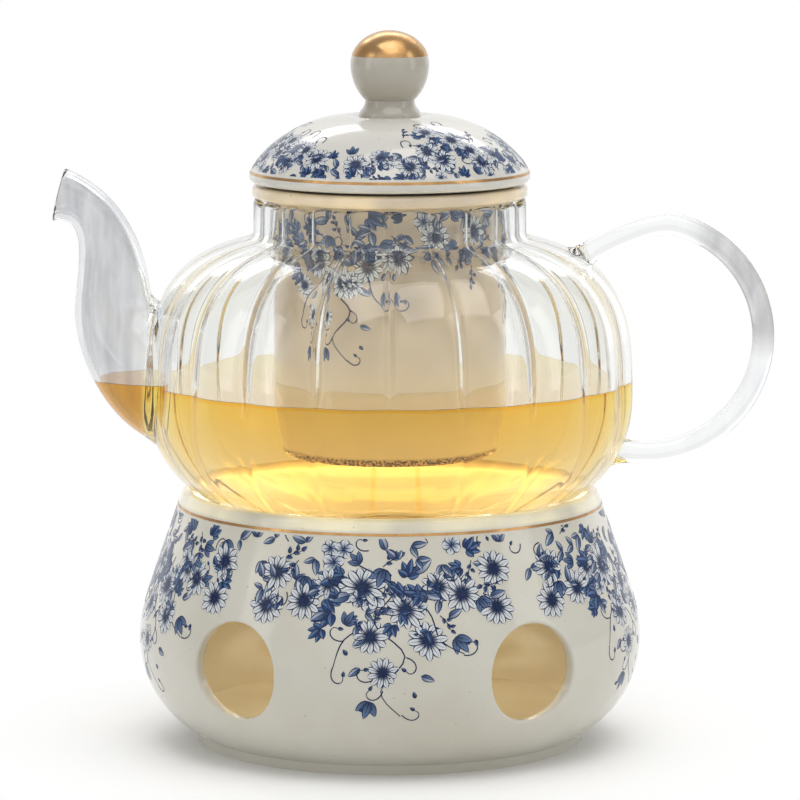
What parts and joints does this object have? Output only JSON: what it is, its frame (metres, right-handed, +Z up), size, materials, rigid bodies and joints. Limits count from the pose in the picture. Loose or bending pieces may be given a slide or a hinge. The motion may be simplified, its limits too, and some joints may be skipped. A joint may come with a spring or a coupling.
{
  "type": "glass teapot with infuser on a candle warmer",
  "caption": "Lobed clear glass teapot with a spout and rod handle, a ceramic infuser and domed lid, standing on a round vented ceramic tealight warmer.",
  "frame": {"origin": "on the warmer's axis, in the plane of its foot, where the set stands on the table", "axes": "+Z up along the common axis of warmer, pot, infuser and lid; spout along -X, handle along +X, front towards -Y"},
  "size_m": [0.196, 0.1359, 0.1935],
  "materials": {
    "glaze": "clear gloss glaze over off-white ceramic with a blue transfer print and gold lines",
    "glass": "clear blown glass, fire polished",
    "tea": "clear golden tea",
    "tin": "thin pressed metal",
    "wax": "cast paraffin wax",
    "wick": "braided cotton, waxed"
  },
  "bodies": {
    "warmer": {"warmer_stand": "glaze"},
    "tealight": {"tealight_cup": "tin", "tealight_wax": "wax", "wick_sustainer": "tin", "tealight_wick": "wick"},
    "pot": {"glass_body": "glass", "spout": "glass", "handle": "glass", "tea": "tea"},
    "infuser": {"infuser": "glaze"},
    "lid": {"lid": "glaze", "lid_knob": "glaze"}
  },
  "joints": [
    {"name": "tealight_lift", "type": "slide", "parent": "warmer", "child": "tealight", "axis": [0, 0, 1], "range_m": [0, 0.022]},
    {"name": "pot_lift", "type": "slide", "parent": "warmer", "child": "pot", "axis": [0, 0, 1], "range_m": [0, 0.06]},
    {"name": "infuser_lift", "type": "slide", "parent": "pot", "child": "infuser", "axis": [0, 0, 1], "range_m": [0, 0.1]},
    {"name": "lid_lift", "type": "slide", "parent": "infuser", "child": "lid", "axis": [0, 0, 1], "range_m": [0, 0.06]}
  ]
}
